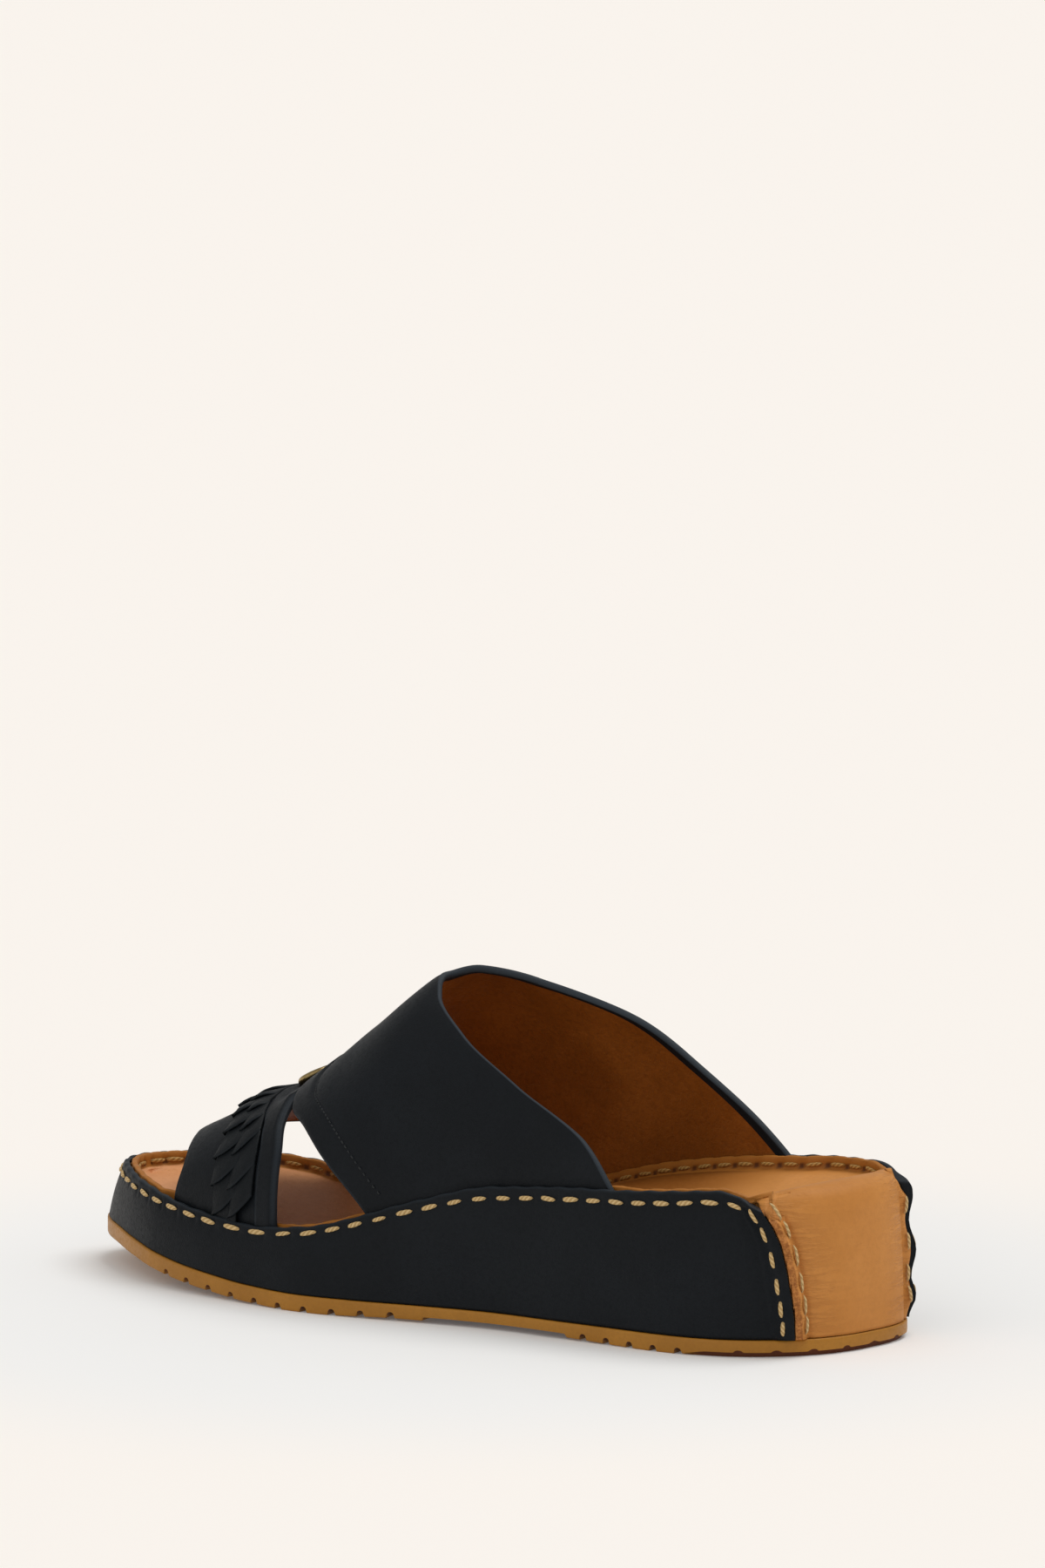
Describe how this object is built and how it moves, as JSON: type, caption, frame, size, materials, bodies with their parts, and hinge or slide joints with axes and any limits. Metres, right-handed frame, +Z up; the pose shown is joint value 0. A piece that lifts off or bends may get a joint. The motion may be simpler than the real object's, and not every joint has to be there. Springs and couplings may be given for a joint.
{
  "type": "arabic sandal",
  "caption": "Slip-on leather sandal for the right foot: wedge sole with stitched wall, wide instep band, toe strap with leaf-like scales and a metal link, open toe and heel.",
  "frame": {"origin": "under the middle of the bounding box, on the plane that the sole stands on", "axes": "+X from toe to heel, +Y towards the outer side of the foot, +Z up"},
  "size_m": [0.2922, 0.1088, 0.1038],
  "materials": {
    "outsole_rubber": "satin gum rubber",
    "core": "cork and rubber core, hidden",
    "wall_leather": "matt blue-black leather",
    "footbed_leather": "smooth tan leather",
    "upper_leather": "matt blue-black leather, tan lining",
    "scale_leather": "matt black leather, cut and overlapped",
    "ring_metal": "polished brass",
    "loop_leather": "matt black leather"
  },
  "bodies": {
    "root": {"outsole": "outsole_rubber", "midsole": "core", "side_wrap": "wall_leather", "insole_cover": "footbed_leather", "upper": "upper_leather", "scale_overlay": "scale_leather", "brass_ring": "ring_metal", "leather_loop": "loop_leather"}
  },
  "joints": []
}
